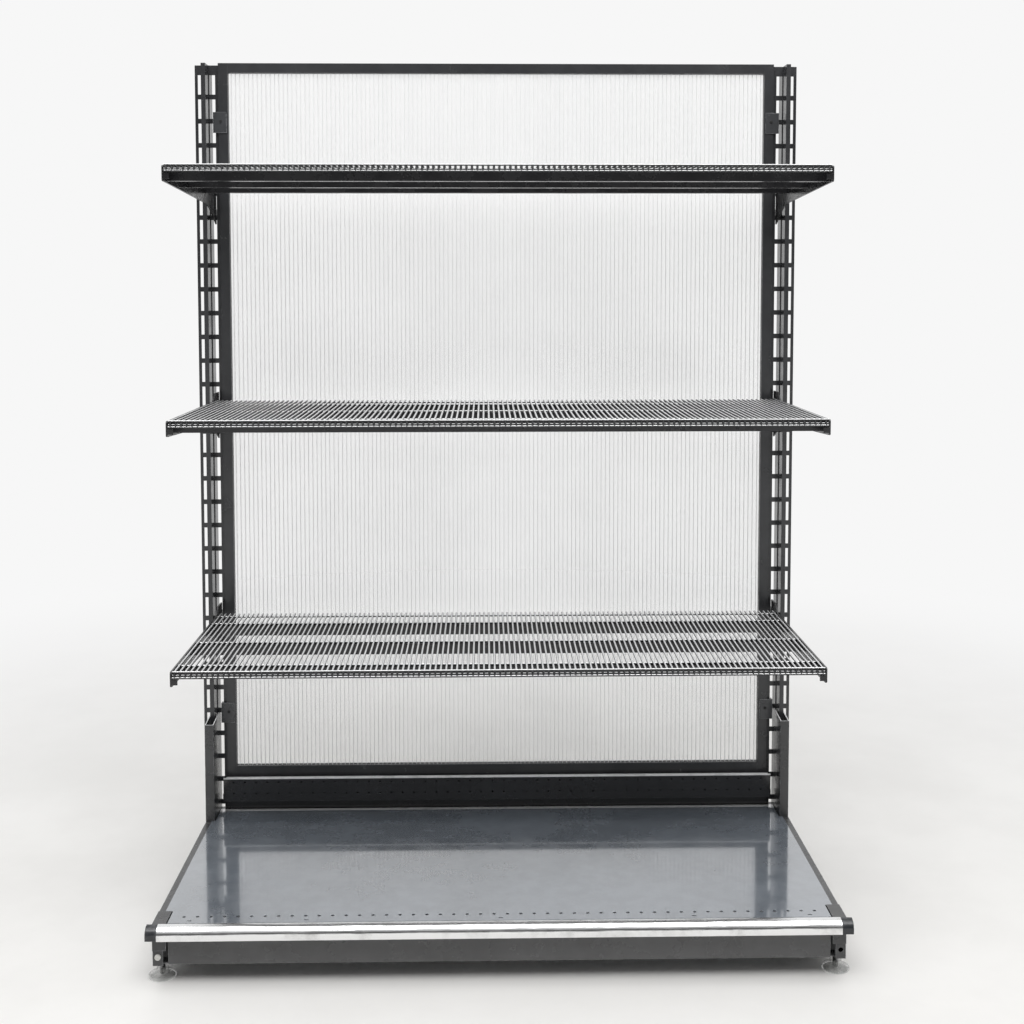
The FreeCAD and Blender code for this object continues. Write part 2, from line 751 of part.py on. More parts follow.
def levelling_foot(spot, x, y):
    """Clear round pad pressed on a threaded steel stem."""
    disc = new_body(f"foot_pad_{spot}", x)
    tie(disc, "Placement.Base.y", f"{BACK_SHIFT} + {y}")
    bore = "(stem_thick / 2 + stem_room)"
    section = sketch_on(disc, "XZ_Plane")
    outline(section, [
        ("0", "0"),
        ("foot_wide / 2", "0"),
        ("foot_wide / 2", "foot_rim"),
        ("foot_hub / 2", "foot_shoulder"),
        ("foot_hub / 2", "foot_tall"),
        (bore, "foot_tall"),
        (bore, "foot_floor"),
        ("0", "foot_floor"),
    ])
    turned = disc.newObject("PartDesign::Revolution", f"{disc.Name}_turned")
    turned.Profile = section
    turned.ReferenceAxis = (section, ["V_Axis"])
    turned.Angle = 360
    stem = doc.addObject("Part::Cylinder", f"foot_stem_{spot}")
    tie(stem, "Radius", "stem_thick / 2")
    tie(stem, "Height", "stem_top - foot_floor")
    place(stem, f"foot_stem_{spot}", x, "foot_floor")
    tie(stem, "Placement.Base.y", f"{BACK_SHIFT} + {y}")


def foot_nuts():
    """Nuts welded under the legs, one for each foot."""
    nuts = []
    for spot, (x, y) in foot_spots().items():
        hexagon = doc.addObject("Part::Prism", f"nut_{spot}_body")
        hexagon.Polygon = 6
        tie(hexagon, "Circumradius", "nut_across / sqrt(3)")
        bore = doc.addObject("Part::Cylinder", f"nut_{spot}_bore")
        tie(bore, "Radius", "stem_thick / 2 + stem_room")
        for solid in (hexagon, bore):
            tie(solid, "Height", "nut_tall")
            tie(solid, "Placement.Base.x", x)
            tie(solid, "Placement.Base.y", y)
            tie(solid, "Placement.Base.z", "leg_low - nut_tall")
        nut = doc.addObject("Part::Cut", f"nut_{spot}")
        nut.Base = hexagon
        nut.Tool = bore
        nuts.append(nut)
    group("foot_nuts", nuts)


def bent_wire():
    """One front-to-back wire, bent down at the front, with its front end at the origin's depth."""
    thick, bend, drop = size("wire_thick"), size("wire_bend"), size("lip_drop")
    length = size("shelf_reach") - size("shelf_back")
    outer, inner = bend + thick, bend
    diagonal = math.sqrt(0.5)
    middle = Vector(0, outer, -outer)
    turn = Vector(0, -diagonal, diagonal)
    edges = [
        Part.makeLine(Vector(0, length, 0), Vector(0, outer, 0)),
        Part.Arc(Vector(0, outer, 0), middle + turn * outer, Vector(0, 0, -outer)).toShape(),
        Part.makeLine(Vector(0, 0, -outer), Vector(0, 0, -drop)),
        Part.makeLine(Vector(0, 0, -drop), Vector(0, thick, -drop)),
        Part.makeLine(Vector(0, thick, -drop), Vector(0, thick, -outer)),
        Part.Arc(Vector(0, thick, -outer), middle + turn * inner, Vector(0, outer, -thick)).toShape(),
        Part.makeLine(Vector(0, outer, -thick), Vector(0, length, -thick)),
        Part.makeLine(Vector(0, length, -thick), Vector(0, length, 0)),
    ]
    return Part.Face(Part.Wire(edges)).extrude(Vector(thick, 0, 0))


def wire_grid_shape():
    """Welded grid of one shelf. Its top is at height zero and its front at the shelf's reach."""
    half = size("post_pitch") / 2 - size("bracket_inset") - size("bracket_thick") - size("grid_side_gap")
    thick, pitch, cross, lip = size("wire_thick"), size("wire_pitch"), size("cross_wire"), size("lip_wire")
    length = size("shelf_reach") - size("shelf_back")
    sink = size("weld_sink")
    each_way = int((half - thick) // pitch)
    front = -size("shelf_reach")
    one = bent_wire()
    rods = []
    for step in range(-each_way, each_way + 1):
        rods.append(one.translated(Vector(step * pitch - thick / 2, front, 0)))
    for depth in (size("bar_first"), size("bar_second"), size("bar_third"), length - size("rear_wire_in")):
        corner = Vector(-half, front + depth - cross / 2, sink - thick - cross)
        rods.append(Part.makeBox(2 * half, cross, cross, corner))
    for row in range(LIP_WIRES):
        low = row * (lip + size("lip_wire_gap")) - size("lip_drop")
        rods.append(Part.makeBox(2 * half, lip, lip, Vector(-half, front + thick - sink, low)))
    return rods[0].multiFuse(rods[1:]).Solids[0]


def shelf_bracket(level, height, side, sign):
    """Tapered side plate of a shelf with a folded nose and two hooks for the post."""
    bracket = new_body(f"{level}_shelf_bracket_{side}", f"{sign} * {BRACKET_X}", height)
    nose = "(nose_back - shelf_reach)"
    upper, lower = "(-shelf_rise)", "(-shelf_rise - slot_pitch)"
    corners = [
        (nose, "-bracket_sink"),
        (nose, "-nose_tall"),
        ("-knee_back", "-knee_drop"),
        (HOOK_FRONT, "-root_drop"),
    ]
    corners += hook_corners(lower) + hook_corners(upper)
    corners += [(HOOK_FRONT, "ear_rise"), ("-ear_flat", "ear_rise"), ("-ear_slope", "-bracket_sink")]
    side_view = sketch_on(bracket, "YZ_Plane")
    outline(side_view, corners)
    blank = pad(bracket, side_view, "bracket_thick", both_ways=True)
    nose_depth = size("shelf_reach") - size("nose_back")
    tip = round_off(bracket, blank, front_of(nose_depth), "nose_round")
    knee = Vector(0, -size("knee_back"), -size("knee_drop"))
    at_knee = lambda point: math.hypot(point.y - knee.y, point.z - knee.z) < SAME_POINT
    round_off(bracket, tip, at_knee, "knee_round")
    fold = sketch_on(bracket, "YZ_Plane", f"{-sign} * (nose_flange - bracket_thick) / 2")
    rectangle(fold, nose, "nose_round - nose_tall", f"{nose} + bracket_thick", "-lip_drop - flange_gap")
    pad(bracket, fold, "nose_flange", both_ways=True)


def shelves():
    """Three shelves: a loose wire grid on three cross bars between two brackets."""
    grid_shape = wire_grid_shape()
    bars = {"front": "bar_first", "centre": "bar_second", "rear": "bar_third"}
    for order, level in enumerate(SHELVES):
        height = f"({slot_bottom(f'(top_shelf_slot + {order} * shelf_step_slots)')} + shelf_rise)"
        grid = doc.addObject("Part::Feature", f"{level}_shelf_wire_grid")
        grid.Shape = grid_shape
        place(grid, f"{level}_shelf_wire_grid", z=height)
        for name, setback in bars.items():
            tube_along_x(
                f"{level}_shelf_bar_{name}", f"{setback} - shelf_reach", f"{BAR_TOP} - bar_tall",
                "bar_deep", "bar_tall", "bar_wall", f"2 * {BRACKET_X} - bracket_thick", z=height)
        for side, sign in SIDES.items():
            shelf_bracket(level, height, side, sign)


def check_model():
    """Stops the build if a feature failed, a cut removed nothing, or a piece has no sound shape."""
    for thing in doc.Objects:
        if "Invalid" in thing.State or "Error" in thing.State:
            raise RuntimeError(f"{thing.Name} failed: {thing.State}")
        if thing.TypeId == "PartDesign::Pocket":
            if thing.Shape.Volume > thing.BaseFeature.Shape.Volume - 1:
                raise RuntimeError(f"{thing.Name} cuts nothing")
    sound = []
    for piece in pieces:
        shape = piece.Shape
        if any(shape.isPartner(other) for other in sound):
            continue
        if shape.isNull() or not shape.isValid() or not shape.Solids:
            raise RuntimeError(f"{piece.Label} has no sound shape")
        sound.append(shape)


for side, sign in SIDES.items():
    post_web(side, sign)
    slotted_strip(side, sign, "outer", 1)
    slotted_strip(side, sign, "inner", -1)
    panel_stile(side, sign)
    for end, bottom in clip_bottoms().items():
        panel_clip(end, bottom, side, sign)
    leg_channel(side, sign)
    leg_rail(side, sign)
    bumper_hanger(side, sign)
    bumper_cap(side, sign)
panel_rail("top", FRAME_TOP, -1)
panel_rail("bottom", "lower_top", 1)
polycarbonate_sheet()
panel_clip_screws()
lower_back_panel()
tube_along_x(
    "rear_stretcher", "(wing_thick / 2 + stretcher_gap + stretcher_deep / 2)", "stretcher_low",
    "stretcher_deep", "stretcher_tall", "stretcher_wall", "post_pitch - web_wide")
leg_hole_plug()
deck()
plinth()
bumper_bar()
for spot, (x, y) in foot_spots().items():
    levelling_foot(spot, x, y)
foot_nuts()
shelves()

doc.recompute()
check_model()
os.makedirs("parts", exist_ok=True)
for piece in pieces:
    piece.Shape.exportStep(f"parts/{piece.Label}.step")
print(f"{len(pieces)} pieces written")
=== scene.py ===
from math import cos, pi, radians, sin

import bmesh
import bpy
from mathutils import Matrix, Vector


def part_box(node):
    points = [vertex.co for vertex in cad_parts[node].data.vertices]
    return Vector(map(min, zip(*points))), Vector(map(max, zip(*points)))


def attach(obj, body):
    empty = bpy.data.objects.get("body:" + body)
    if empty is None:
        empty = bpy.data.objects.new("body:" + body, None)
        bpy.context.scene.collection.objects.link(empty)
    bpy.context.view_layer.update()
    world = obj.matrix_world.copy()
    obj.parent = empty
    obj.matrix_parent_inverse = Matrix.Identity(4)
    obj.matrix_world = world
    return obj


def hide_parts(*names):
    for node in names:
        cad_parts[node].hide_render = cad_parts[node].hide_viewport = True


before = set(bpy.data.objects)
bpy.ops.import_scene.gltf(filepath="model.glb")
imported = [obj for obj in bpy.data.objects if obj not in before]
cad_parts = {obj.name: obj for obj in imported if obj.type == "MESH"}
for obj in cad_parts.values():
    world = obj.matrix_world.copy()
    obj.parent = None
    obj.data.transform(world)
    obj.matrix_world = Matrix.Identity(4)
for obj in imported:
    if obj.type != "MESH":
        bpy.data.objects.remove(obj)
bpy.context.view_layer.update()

# Posts: a deep narrow steel web with a slotted strip welded along each side of it.
# Cold rolled steel, stove enamelled in graphite grey after welding. The enamel shows a fine
# orange peel, broad roller marks, some dust on what faces up and paler, rubbed edges.
SIDES = ("left", "right")
GRAPHITE = (0.043, 0.044, 0.047, 1.0)
RUBBED_GRAPHITE = (0.17, 0.175, 0.185, 1.0)


def set_sockets(tree, node, sockets):
    """Fills a node's inputs; a value is a number, a colour or another node's socket."""
    for name, value in sockets.items():
        if isinstance(value, bpy.types.NodeSocket):
            tree.links.new(value, node.inputs[name])
        else:
            node.inputs[name].default_value = value


def add_node(tree, kind, sockets=None, **settings):
    """One shader node with its settings and inputs."""
    node = tree.nodes.new(kind)
    for name, value in settings.items():
        setattr(node, name, value)
    set_sockets(tree, node, sockets or {})
    return node


def math_node(tree, operation, *values, clamp=False):
    """The result of one sum on one, two or three values."""
    return add_node(
        tree, "ShaderNodeMath", dict(enumerate(values)),
        operation=operation, use_clamp=clamp).outputs[0]


def stretch(tree, value, low, high, new_low=0.0, new_high=1.0):
    """Maps low..high onto new_low..new_high, smoothly and without overshoot."""
    return add_node(
        tree, "ShaderNodeMapRange",
        {"Value": value, "From Min": low, "From Max": high, "To Min": new_low, "To Max": new_high},
        interpolation_type="SMOOTHSTEP").outputs["Result"]


def tint(tree, amount, under, over):
    """Mixes two colours by a mask; 6, 7 and 2 are the Mix node's colour sockets."""
    return add_node(
        tree, "ShaderNodeMix", {0: amount, 6: under, 7: over}, data_type="RGBA").outputs[2]


def noise(tree, place, scale, detail=2.0, roughness=0.5):
    """A cloud of values about one half."""
    return add_node(
        tree, "ShaderNodeTexNoise",
        {"Vector": place, "Scale": scale, "Detail": detail, "Roughness": roughness}).outputs["Fac"]


def object_point(tree):
    """The shaded point, in the part's own frame."""
    return add_node(tree, "ShaderNodeTexCoord").outputs["Object"]


def facing(tree):
    """The direction that the surface faces."""
    return add_node(tree, "ShaderNodeNewGeometry").outputs["Normal"]


def parts_of(tree, vector):
    """The X, Y and Z of a vector."""
    return add_node(tree, "ShaderNodeSeparateXYZ", {"Vector": vector}).outputs


def new_group(name, inputs, outputs):
    """An empty shader group with its named sockets and the two nodes that carry them."""
    group = bpy.data.node_groups.new(name, "ShaderNodeTree")
    for names, direction in ((inputs, "INPUT"), (outputs, "OUTPUT")):
        for label, kind in names:
            group.interface.new_socket(label, in_out=direction, socket_type=kind)
    return group, group.nodes.new("NodeGroupInput").outputs, group.nodes.new("NodeGroupOutput")


def new_material(name):
    """A node material, its tree and its shader."""
    material = bpy.data.materials.new(name)
    material.use_nodes = True
    return material, material.node_tree, material.node_tree.nodes["Principled BSDF"]


COLOUR, NUMBER = "NodeSocketColor", "NodeSocketFloat"
NOISE_SPAN = (0.3, 0.7)
BEVEL_SAMPLES = 4
EDGE_REACH, EDGE_TURN = 0.0016, (0.995, 0.86)
CHIP_GRAIN, CHIP_SPAN = 55.0, (0.42, 0.64)
ROLLER_GRAIN, ROLLER_SHADE = 5.0, (0.86, 1.10)
STREAK_GRAIN, STREAK_SPAN, STREAK_SHADE = 34.0, (0.35, 0.65), (-0.05, 0.05)
DUST = (0.42, 0.41, 0.39, 1.0)
DUST_SLOPE, DUST_SPAN, DUST_ROUGH = (0.35, 0.95), (0.30, 0.75), 0.6
SMEAR_GRAIN, SMEAR_ROUGH = 16.0, (-0.07, 0.09)
PEEL_GRAIN, PEEL_WAVES, WAVE_SHARE = 420.0, 38.0, 2.0
enamel_coat, given, made = new_group(
    "enamel_coat",
    [("Paint", COLOUR), ("Rubbed And Highlight", COLOUR), ("Gloss", NUMBER), ("Wear And Edge Highlight", NUMBER), ("Dusty", NUMBER)],
    [("Paint", COLOUR), ("Roughness", NUMBER), ("Peel", NUMBER)])
here, face = object_point(enamel_coat), facing(enamel_coat)
rounded = add_node(
    enamel_coat, "ShaderNodeBevel", {"Radius": EDGE_REACH}, samples=BEVEL_SAMPLES).outputs["Normal"]
turned = add_node(
    enamel_coat, "ShaderNodeVectorMath", {0: face, 1: rounded}, operation="DOT_PRODUCT")
edge = stretch(enamel_coat, turned.outputs["Value"], *EDGE_TURN)
# wear up to 1 rubs the edges in chips; what is above 1 adds an unbroken painted highlight line
# along them
chipped = stretch(enamel_coat, noise(
    enamel_coat, here, CHIP_GRAIN, detail=4.0, roughness=0.7), *CHIP_SPAN)
edge_highlight_line = math_node(
    enamel_coat, "MAXIMUM", math_node(enamel_coat, "SUBTRACT", given["Wear And Edge Highlight"], 1.0), 0.0)
chips_and_edge_highlight = math_node(enamel_coat, "MULTIPLY_ADD", chipped, given["Wear And Edge Highlight"], edge_highlight_line)
worn_and_highlit_edge = math_node(enamel_coat, "MULTIPLY", edge, chips_and_edge_highlight, clamp=True)
broad = noise(enamel_coat, here, ROLLER_GRAIN, detail=3.0)
streaks = noise(enamel_coat, here, STREAK_GRAIN, detail=4.0, roughness=0.6)
depth = math_node(
    enamel_coat, "ADD", stretch(enamel_coat, broad, *NOISE_SPAN, *ROLLER_SHADE),
    stretch(enamel_coat, streaks, *STREAK_SPAN, *STREAK_SHADE))
shaded = add_node(
    enamel_coat, "ShaderNodeVectorMath", {0: given["Paint"], "Scale": depth}, operation="SCALE")
upward = stretch(enamel_coat, parts_of(enamel_coat, face)["Z"], *DUST_SLOPE)
settled = math_node(enamel_coat, "MULTIPLY", upward, math_node(
    enamel_coat, "MULTIPLY", stretch(enamel_coat, streaks, *DUST_SPAN), given["Dusty"]))
dusted = tint(enamel_coat, settled, shaded.outputs["Vector"], DUST)
smears = stretch(enamel_coat, noise(
    enamel_coat, here, SMEAR_GRAIN, detail=5.0, roughness=0.65), *NOISE_SPAN, *SMEAR_ROUGH)
dull = math_node(enamel_coat, "MULTIPLY_ADD", settled, DUST_ROUGH, smears)
waves = math_node(
    enamel_coat, "MULTIPLY", noise(enamel_coat, here, PEEL_WAVES, detail=1.0), WAVE_SHARE)
set_sockets(enamel_coat, made, {
    "Paint": tint(enamel_coat, worn_and_highlit_edge, dusted, given["Rubbed And Highlight"]),
    "Roughness": math_node(enamel_coat, "ADD", dull, given["Gloss"], clamp=True),
    "Peel": math_node(
        enamel_coat, "ADD", noise(enamel_coat, here, PEEL_GRAIN, detail=1.0), waves)})

PEEL_STRENGTH = 0.4
COAT_ROUGHNESS = 0.06


def enamel(name, paint, rubbed_and_highlight, gloss, wear_and_edge_highlight, dusty, coat, peel, corner=0.0007):
    """Stove enamel: paint, the tone of rubbed edges and of their painted highlight, roughness, and
    how deep its orange peel is.
    """
    material, tree, shader = new_material(name)
    skin = add_node(
        tree, "ShaderNodeGroup",
        {"Paint": paint, "Rubbed And Highlight": rubbed_and_highlight, "Gloss": gloss, "Wear And Edge Highlight": wear_and_edge_highlight, "Dusty": dusty},
        node_tree=enamel_coat).outputs
    if corner:
        soft = add_node(tree, "ShaderNodeBevel", {"Radius": corner}, samples=BEVEL_SAMPLES)
        bump = add_node(tree, "ShaderNodeBump", {
            "Strength": PEEL_STRENGTH, "Distance": peel, "Height": skin["Peel"],
            "Normal": soft.outputs["Normal"]})
        tree.links.new(bump.outputs["Normal"], shader.inputs["Normal"])
    set_sockets(tree, shader, {
        "Base Color": skin["Paint"], "Roughness": skin["Roughness"],
        "Coat Weight": coat, "Coat Roughness": COAT_ROUGHNESS})
    return material


def dress(material, *names):
    """Gives CAD nodes their finish."""
    for name in names:
        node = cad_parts[name]
        node.data.materials.clear()
        node.data.materials.append(material)


graphite_enamel = enamel(
    "graphite_enamel", GRAPHITE, RUBBED_GRAPHITE,
    gloss=0.20, wear_and_edge_highlight=0.4, dusty=0.05, coat=0.0, peel=0.00004)
for side in SIDES:
    dress(graphite_enamel, f"post_web_{side}",
          f"slotted_strip_{side}_outer", f"slotted_strip_{side}_inner")

# Lower back panel and the stretcher behind it: folded sheet steel hung between the posts, its top
# a tray with two rows of small punched holes. The folds are rounded, and a painted highlight runs
# along the tray's top front edge.
# This black is darker than the posts' graphite; the extra darkness is painted shade for the low,
# shaded panel.
FOLD_BLACK_AND_SHADE = (0.019, 0.0195, 0.0215, 1.0)
RUBBED_BLACK = (0.10, 0.102, 0.105, 1.0)
PAINTED_FOLD_HIGHLIGHT = (0.93, 0.935, 0.945, 1.0)
HIGHLIGHT_GRAIN, HIGHLIGHT_SPAN, HIGHLIGHT_SHARE = 30.0, (0.25, 0.5), (0.75, 1.0)
TRAY_HIGHLIGHT_TOP = (0.0034, 0.0024)
TRAY_HIGHLIGHT_FRONT = (0.0075, 0.0060)
# A painted highlight: a near-white band, broken a little by noise, laid over the paint.
painted_highlight_band, given, made = new_group(
    "painted_highlight_band", [("Paint", COLOUR), ("Band", NUMBER)], [("Paint", COLOUR)])
patchy = stretch(painted_highlight_band, noise(
    painted_highlight_band, object_point(painted_highlight_band), HIGHLIGHT_GRAIN, detail=3.0), *HIGHLIGHT_SPAN, *HIGHLIGHT_SHARE)
rubbed_and_highlight = math_node(painted_highlight_band, "MULTIPLY", patchy, given["Band"])
set_sockets(painted_highlight_band, made, {"Paint": tint(painted_highlight_band, rubbed_and_highlight, given["Paint"], PAINTED_FOLD_HIGHLIGHT)})


def paint_highlight_band(material, *bands):
    """Paints a highlight over the paint where two bands meet.

    A band is an axis, or "up" for how far a face turns up, with its start and its full end.
    """
    tree = material.node_tree
    paint = tree.nodes["Principled BSDF"].inputs["Base Color"]
    spot, slope = parts_of(tree, object_point(tree)), parts_of(tree, facing(tree))
    masks = [stretch(tree, slope["Z"] if axis == "up" else spot[axis], start, full)
             for axis, start, full in bands]
    painted_highlight = add_node(
        tree, "ShaderNodeGroup",
        {"Paint": paint.links[0].from_socket, "Band": math_node(tree, "MULTIPLY", *masks)},
        node_tree=painted_highlight_band)
    tree.links.new(painted_highlight.outputs["Paint"], paint)


folded_enamel = enamel(
    "folded_enamel", FOLD_BLACK_AND_SHADE, RUBBED_BLACK,
    gloss=0.18, wear_and_edge_highlight=0.6, dusty=0.05, coat=0.5, peel=0.00004, corner=0.0022)
low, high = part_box("lower_back_panel")
paint_highlight_band(
    folded_enamel, ("Z", *[high.z - down for down in TRAY_HIGHLIGHT_TOP]),
    ("Y", *[low.y + back for back in TRAY_HIGHLIGHT_FRONT]))
dress(folded_enamel, "lower_back_panel")
dress(graphite_enamel, "rear_stretcher")

# Back panel frame: two stiles and two rails of folded steel, mitred and welded, grooved for the
# sheet. The four clips that hold it to the posts are pressed steel, in a paler enamel.
CLIP_GREY = (0.060, 0.062, 0.066, 1.0)
RUBBED_STEEL_AND_HIGHLIGHT = (0.45, 0.46, 0.48, 1.0)
dress(graphite_enamel, "panel_rail_top", "panel_rail_bottom",
      *[f"panel_stile_{side}" for side in SIDES])
# The clips' edges carry an unbroken painted highlight line over their rubbed chips.
clip_enamel = enamel(
    "clip_enamel", CLIP_GREY, RUBBED_STEEL_AND_HIGHLIGHT,
    gloss=0.24, wear_and_edge_highlight=1.25, dusty=0.03, coat=0.0, peel=0.00004)
dress(clip_enamel, *[f"panel_clip_{end}_{side}" for end in ("top", "bottom") for side in SIDES])

# Sheet in the frame: extruded twin-wall polycarbonate, two hazy clear skins joined by upright ribs.
# Each skin sinks a little between the ribs, so the sheet is finely fluted. The ribs are opaque and
# show through the skins as grey lines.
SHEET_RIBS = 0.0090
SHEET_SINK = 0.00022
RIB_WALL = 0.0007
RIB_CLEAR = 0.0004
SHEET_WHITE = (0.96, 0.962, 0.962, 1.0)
SHEET_GREY = (0.88, 0.885, 0.89, 1.0)
RIB_WHITE = (0.95, 0.952, 0.952, 1.0)
RIB_GREY = (0.86, 0.865, 0.87, 1.0)
CLOUD_GRAIN = 3.0
SKIN_ALPHA, SKIN_ROUGHNESS = (0.11, 0.16), (0.16, 0.30)


def only(kind, items):
    """The items of one bmesh kind."""
    return [item for item in items if isinstance(item, kind)]


def make_piece(shape, name, *materials, sharp=35.0):
    """Closes a bmesh into an object with smooth faces and crisp corners."""
    bmesh.ops.remove_doubles(shape, verts=shape.verts, dist=1e-6)
    bmesh.ops.recalc_face_normals(shape, faces=shape.faces)
    mesh = bpy.data.meshes.new(name)
    shape.to_mesh(mesh)
    shape.free()
    mesh.shade_smooth()
    mesh.set_sharp_from_angle(angle=radians(sharp))
    for material in materials:
        mesh.materials.append(material)
    piece = bpy.data.objects.new(name, mesh)
    bpy.context.scene.collection.objects.link(piece)
    return piece


def use_second_material(shape, first_faces):
    """Gives the faces made after the first ones the piece's second material."""
    shape.faces.ensure_lookup_table()
    for made_later in shape.faces[first_faces:]:
        made_later.material_index = 1


low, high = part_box("polycarbonate_sheet")
span, middle = high - low, (low + high) / 2
flutes = round(span.x / SHEET_RIBS)


def between_ribs(corners):
    """The corners that lie midway between two ribs."""
    return [corner for corner in corners
            if round((corner.co.x - low.x) / span.x * 2 * flutes) % 2]


sheet = bmesh.new()
bmesh.ops.create_grid(sheet, x_segments=2 * flutes, y_segments=1, size=0.5)
bmesh.ops.rotate(sheet, verts=sheet.verts, matrix=Matrix.Rotation(pi / 2, 3, "X"))
bmesh.ops.scale(sheet, verts=sheet.verts, vec=(span.x, 1.0, span.z))
bmesh.ops.translate(sheet, verts=sheet.verts, vec=(middle.x, low.y, middle.z))
sunk_front = between_ribs(sheet.verts)
back = bmesh.ops.extrude_face_region(sheet, geom=sheet.faces[:])["geom"]
back_skin = only(bmesh.types.BMVert, back)
bmesh.ops.translate(sheet, verts=back_skin, vec=(0, span.y, 0))
bmesh.ops.translate(sheet, verts=sunk_front, vec=(0, SHEET_SINK, 0))
bmesh.ops.translate(sheet, verts=between_ribs(back_skin), vec=(0, -SHEET_SINK, 0))
skin_faces = len(sheet.faces)
rib_size = Matrix.Diagonal((RIB_WALL, span.y - 2 * RIB_CLEAR, span.z - 2 * RIB_CLEAR, 1.0))
for number in range(1, flutes):
    spot = Matrix.Translation((low.x + span.x * number / flutes, middle.y, middle.z))
    bmesh.ops.create_cube(sheet, size=1.0, matrix=spot @ rib_size)
use_second_material(sheet, skin_faces)

polycarbonate, tree, shader = new_material("twin_wall_polycarbonate")
here = object_point(tree)
step = math_node(
    tree, "DIVIDE", math_node(tree, "SUBTRACT", parts_of(tree, here)["X"], low.x), SHEET_RIBS)
flute = add_node(
    tree, "ShaderNodeTexWhiteNoise", {"W": math_node(tree, "FLOOR", step)}, noise_dimensions="1D")
cloud = noise(tree, here, CLOUD_GRAIN, detail=3.0)
set_sockets(tree, shader, {
    "Base Color": tint(tree, flute.outputs["Value"], SHEET_WHITE, SHEET_GREY),
    "Alpha": stretch(tree, cloud, *NOISE_SPAN, *SKIN_ALPHA),
    "Roughness": stretch(tree, cloud, *NOISE_SPAN, *SKIN_ROUGHNESS)})

mottled_tone, given, made = new_group(
    "mottled_tone",
    [("Light", COLOUR), ("Dark", COLOUR), ("Grain", NUMBER), ("Detail", NUMBER), ("Fine", NUMBER),
     ("Patch Start", NUMBER), ("Patch Full", NUMBER), ("Least", NUMBER), ("Most", NUMBER)],
    [("Tone", COLOUR), ("Roughness", NUMBER), ("Mottle", NUMBER)])
mottle = noise(
    mottled_tone, object_point(mottled_tone), given["Grain"], given["Detail"], given["Fine"])
patch = stretch(mottled_tone, mottle, given["Patch Start"], given["Patch Full"])
set_sockets(mottled_tone, made, {
    "Tone": tint(mottled_tone, patch, given["Light"], given["Dark"]),
    "Roughness": stretch(mottled_tone, mottle, *NOISE_SPAN, given["Least"], given["Most"]),
    "Mottle": mottle})


def mottled(name, tones, grain, detail, roughness, fine=0.5, patch=NOISE_SPAN):
    """A plain material with one noise in its tone and roughness; the noise is returned as well."""
    material, tree, shader = new_material(name)
    look = add_node(
        tree, "ShaderNodeGroup",
        {"Light": tones[0], "Dark": tones[1], "Grain": grain, "Detail": detail, "Fine": fine,
         "Patch Start": patch[0], "Patch Full": patch[1],
         "Least": roughness[0], "Most": roughness[1]},
        node_tree=mottled_tone).outputs
    set_sockets(tree, shader, {"Base Color": look["Tone"], "Roughness": look["Roughness"]})
    return material, tree, shader, look["Mottle"]


rib_plastic, *_ = mottled(
    "rib_polycarbonate", (RIB_WHITE, RIB_GREY), grain=45.0, detail=2.0, roughness=(0.25, 0.40))
twin_wall = make_piece(sheet, "twin_wall_sheet", polycarbonate, rib_plastic, sharp=60.0)
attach(twin_wall, "frame")
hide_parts("polycarbonate_sheet")

# Clip screws: small heads of blackened steel, dull, without a coat.
# One is driven through each clip into the stile behind it.
BLACKENED = (0.006, 0.006, 0.006, 1.0)
RUBBED_SCREW = (0.05, 0.05, 0.05, 1.0)
black_steel = enamel(
    "blackened_steel", BLACKENED, RUBBED_SCREW,
    gloss=0.50, wear_and_edge_highlight=0.4, dusty=0.0, coat=0.0, peel=0.00003)
dress(black_steel, "panel_clip_screws")

# Legs: an upright channel hooked into each post and a flat rail welded to it, carried forward to
# a front plate. Folded steel in the same enamel, knocked and rubbed near the floor; the pale rubbed
# edges are partly a painted edge highlight. The channels' open top ends carry a painted highlight
# along their rims.
LEG_GREY = (0.062, 0.063, 0.065, 1.0)
RIM_HIGHLIGHT_DOWN = (0.020, 0.010)
RIM_HIGHLIGHT_SLOPE = (0.4, 0.7)
leg_enamel, rim_highlight_enamel = [
    enamel(name, LEG_GREY, RUBBED_STEEL_AND_HIGHLIGHT, gloss=0.24, wear_and_edge_highlight=0.9, dusty=0.05, coat=0.0, peel=0.00005)
    for name in ("leg_enamel", "rim_highlight_enamel")]
low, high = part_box("leg_channel_left")
paint_highlight_band(rim_highlight_enamel, ("Z", *[high.z - down for down in RIM_HIGHLIGHT_DOWN]), ("up", *RIM_HIGHLIGHT_SLOPE))
for side in SIDES:
    dress(rim_highlight_enamel, f"leg_channel_{side}")
    dress(leg_enamel, f"leg_rail_{side}")

# Plug: a white moulded push-in button that closes the hole in the left front plate.
# The hole in the right plate is left open.
PLUG_WHITES = ((0.74, 0.74, 0.71, 1.0), (0.55, 0.54, 0.50, 1.0))
white_moulding, *_ = mottled(
    "white_moulding", PLUG_WHITES, grain=160.0, detail=4.0, roughness=(0.28, 0.46),
    patch=(0.4, 0.75))
dress(white_moulding, "leg_hole_plug")

